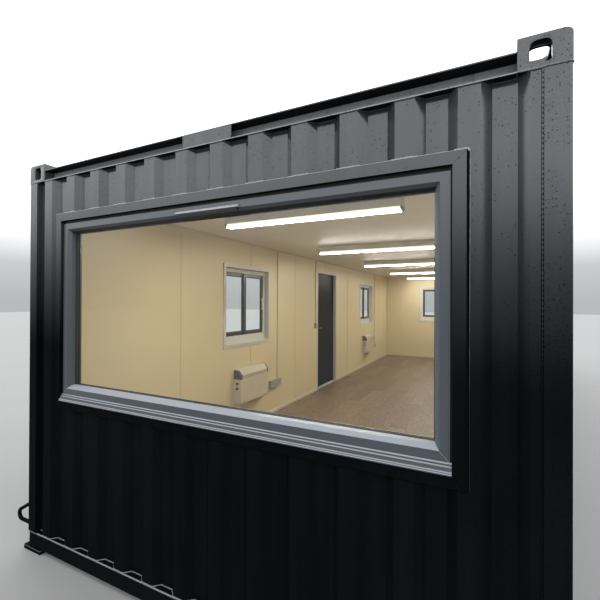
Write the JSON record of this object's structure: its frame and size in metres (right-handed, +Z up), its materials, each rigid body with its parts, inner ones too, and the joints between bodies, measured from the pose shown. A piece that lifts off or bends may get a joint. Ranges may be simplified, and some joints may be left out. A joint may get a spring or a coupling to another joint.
{
  "type": "shipping container style cabin with a picture window",
  "caption": "Corrugated steel container-style cabin with corner castings, a picture window, side windows, a hinged side door and a lined room.",
  "frame": {"origin": "middle of the cabin's footprint, on the ground", "axes": "+Y along the cabin's length, away from the picture window; +X to the right seen from the picture window's end; +Z up"},
  "size_m": [3.38, 9.778, 2.591],
  "materials": {
    "black_steel": "satin black paint",
    "casting_steel": "satin black paint on a casting",
    "sheet_steel": "satin black paint on pressed sheet",
    "surround_steel": "satin dark grey paint",
    "underframe_steel": "dark primer",
    "floor_vinyl": "wood-look vinyl planks",
    "wall_board": "cream faced board",
    "ceiling_board": "pale faced board",
    "window_frame": "anthracite plastic",
    "side_window_frame": "anthracite plastic",
    "vent": "dark plastic",
    "window_glass": "clear double glazing",
    "light_trim": "pale grey trim",
    "door_frame": "grey paint",
    "door_face": "satin black paint",
    "door_metal": "brushed",
    "light_body": "white plastic",
    "light_lens": "opal diffuser",
    "heater_case": "off-white enamel",
    "socket_plastic": "white plastic"
  },
  "bodies": {
    "root": {"corner_posts": "black_steel", "front_top_rail": "black_steel", "rear_top_rail": "black_steel", "side_top_rails": "black_steel", "end_bottom_rails": "black_steel", "side_bottom_rails": "black_steel", "bottom_corner_feet": "black_steel", "lashing_loops": "black_steel", "top_corner_castings": "casting_steel", "front_wall_sheet": "sheet_steel", "rear_wall_sheet": "sheet_steel", "right_wall_sheet": "sheet_steel", "left_wall_front_sheet": "sheet_steel", "left_wall_rear_sheet": "sheet_steel", "over_door_sheet": "sheet_steel", "roof_sheet": "sheet_steel", "picture_window_surround": "surround_steel", "side_window_surrounds": "surround_steel", "floor_cross_members": "underframe_steel", "floor_deck": "floor_vinyl", "front_lining": "wall_board", "rear_lining": "wall_board", "right_lining": "wall_board", "left_front_lining": "wall_board", "left_rear_lining": "wall_board", "over_door_lining": "wall_board", "skirting": "wall_board", "cable_conduits": "wall_board", "ceiling_board": "ceiling_board", "picture_window_frame": "window_frame", "window_sills": "window_frame", "side_window_frames": "side_window_frame", "side_window_sashes": "side_window_frame", "vent_hood": "vent", "picture_window_glass": "window_glass", "side_window_glass": "window_glass", "window_trims": "light_trim", "door_frame": "door_frame", "hinge_pins": "door_metal", "light_trays": "light_body", "light_diffusers": "light_lens", "wall_heaters": "heater_case", "wall_sockets": "socket_plastic"},
    "door": {"door_leaf": "door_face", "door_levers": "door_metal", "hinge_knuckles": "door_metal"}
  },
  "joints": [
    {"name": "door_swing", "type": "hinge", "parent": "root", "child": "door", "pos_m": [-1.536, 0.637, 0], "axis": [0, 0, -1], "range_deg": [0, 100]}
  ]
}
